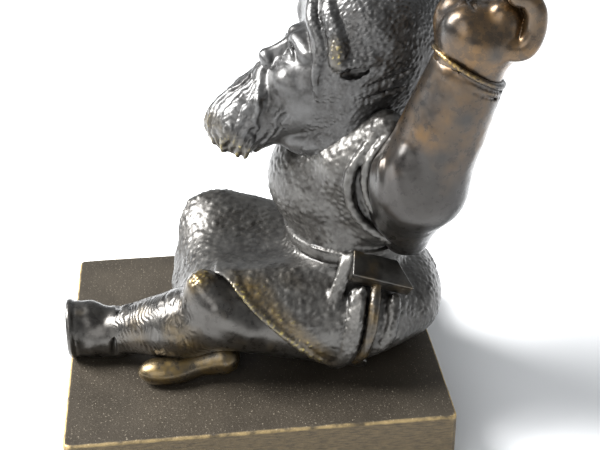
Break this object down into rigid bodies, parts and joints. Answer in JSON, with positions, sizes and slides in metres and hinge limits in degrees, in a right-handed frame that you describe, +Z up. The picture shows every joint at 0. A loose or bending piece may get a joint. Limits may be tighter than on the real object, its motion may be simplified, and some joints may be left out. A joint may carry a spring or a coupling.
{
  "type": "seated figure statuette",
  "caption": "Small bronze statuette of a seated bearded workman in cap and belted tunic, arms raised, hammer at the hip, on a rectangular slab.",
  "frame": {"origin": "centre of the underside of the felt under the slab", "axes": "+Z up; the figure faces -Y; its left side, the side with the hammer, is +X"},
  "size_m": [0.046, 0.0593, 0.0682],
  "materials": {
    "bronze_body": "dark brown patinated bronze, hammered to a pebbled cloth texture, golden on the high spots",
    "bronze_head": "dark brown patinated bronze, combed beard and pebbled cap, golden on the high spots",
    "bronze_sleeve": "smooth brown patinated bronze, rubbed golden on the raised parts",
    "bronze_skin": "smooth brown patinated bronze, well rubbed",
    "bronze_leg": "brown patinated bronze with finely chased stockings",
    "bronze_tool": "brown patinated bronze with sharp worn edges",
    "bronze_slab": "brown patinated bronze slab, bright worn edges and brassy sides",
    "felt": "thin dark green felt",
    "steel": "plain steel",
    "brass_pin": "plain brass rod"
  },
  "bodies": {
    "root": {"body": "bronze_body", "head": "bronze_head", "left_arm": "bronze_sleeve", "right_arm": "bronze_sleeve", "left_hand": "bronze_skin", "right_hand": "bronze_skin", "left_leg": "bronze_leg", "right_leg": "bronze_leg", "hammer_head": "bronze_tool", "hammer_handle": "bronze_tool", "base_slab": "bronze_slab", "felt_pad": "felt", "seat_screws": "steel", "seat_washers": "steel", "neck_dowel": "brass_pin", "left_shoulder_dowel": "brass_pin", "right_shoulder_dowel": "brass_pin", "left_wrist_dowel": "brass_pin", "right_wrist_dowel": "brass_pin", "left_knee_dowel": "brass_pin", "right_knee_dowel": "brass_pin", "hammer_rivet": "brass_pin", "heel_pin": "brass_pin"}
  },
  "joints": []
}
